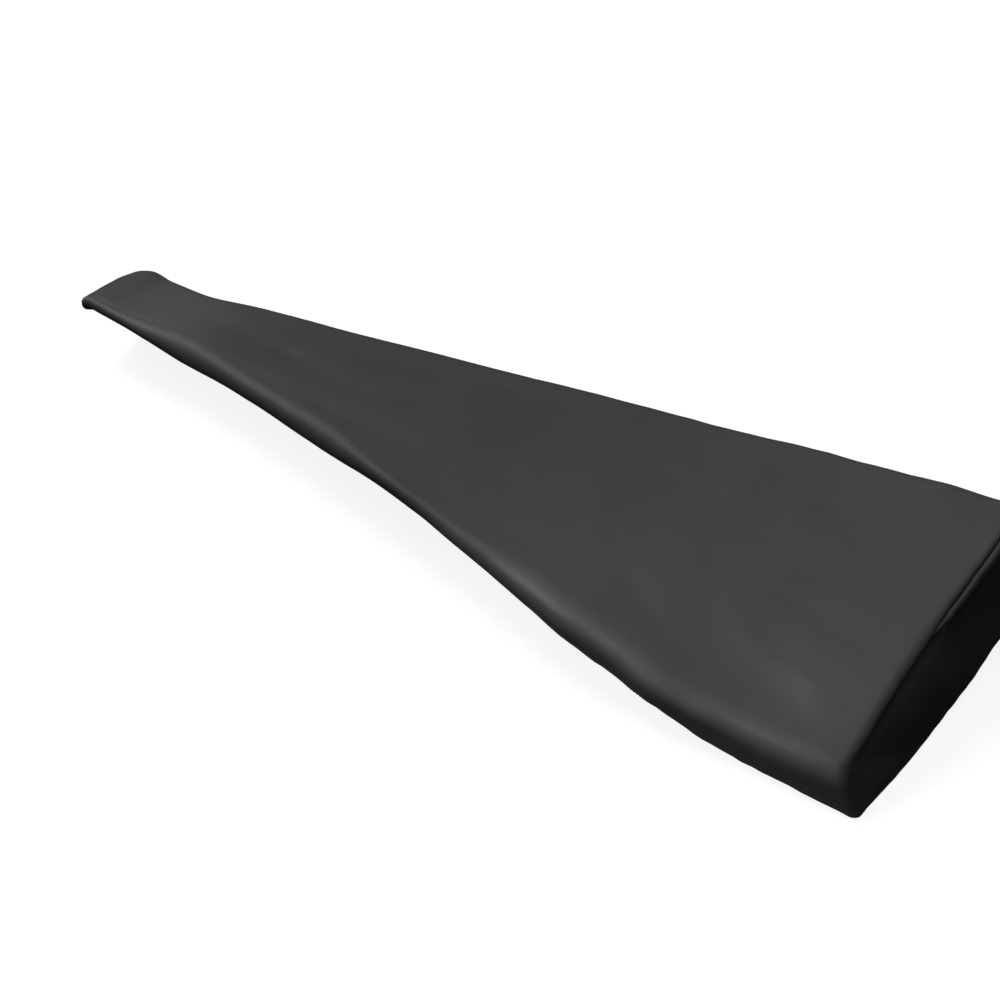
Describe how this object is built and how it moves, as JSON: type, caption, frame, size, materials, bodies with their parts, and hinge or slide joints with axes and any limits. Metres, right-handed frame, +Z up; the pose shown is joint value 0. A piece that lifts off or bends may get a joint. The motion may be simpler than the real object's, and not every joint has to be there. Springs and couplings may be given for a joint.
{
  "type": "keyboard dust cover",
  "caption": "Fitted cloth dust cover for a long keyboard, hollow and open below, with boxed ends, its front drawn back at the left in a long diagonal fold.",
  "frame": {"origin": "on the underside of the top, at the middle of the length and the depth, where the covered keyboard holds it up", "axes": "+X along the length to the fitted end, +Y to the back, +Z up"},
  "size_m": [1.3369, 0.2939, 0.1268],
  "materials": {
    "cover_cloth": "matte, fine plain weave, charcoal black, soft sheen on its rolled edges"
  },
  "bodies": {
    "root": {"main_panel": "cover_cloth", "right_end_panel": "cover_cloth", "left_end_panel": "cover_cloth"}
  },
  "joints": []
}
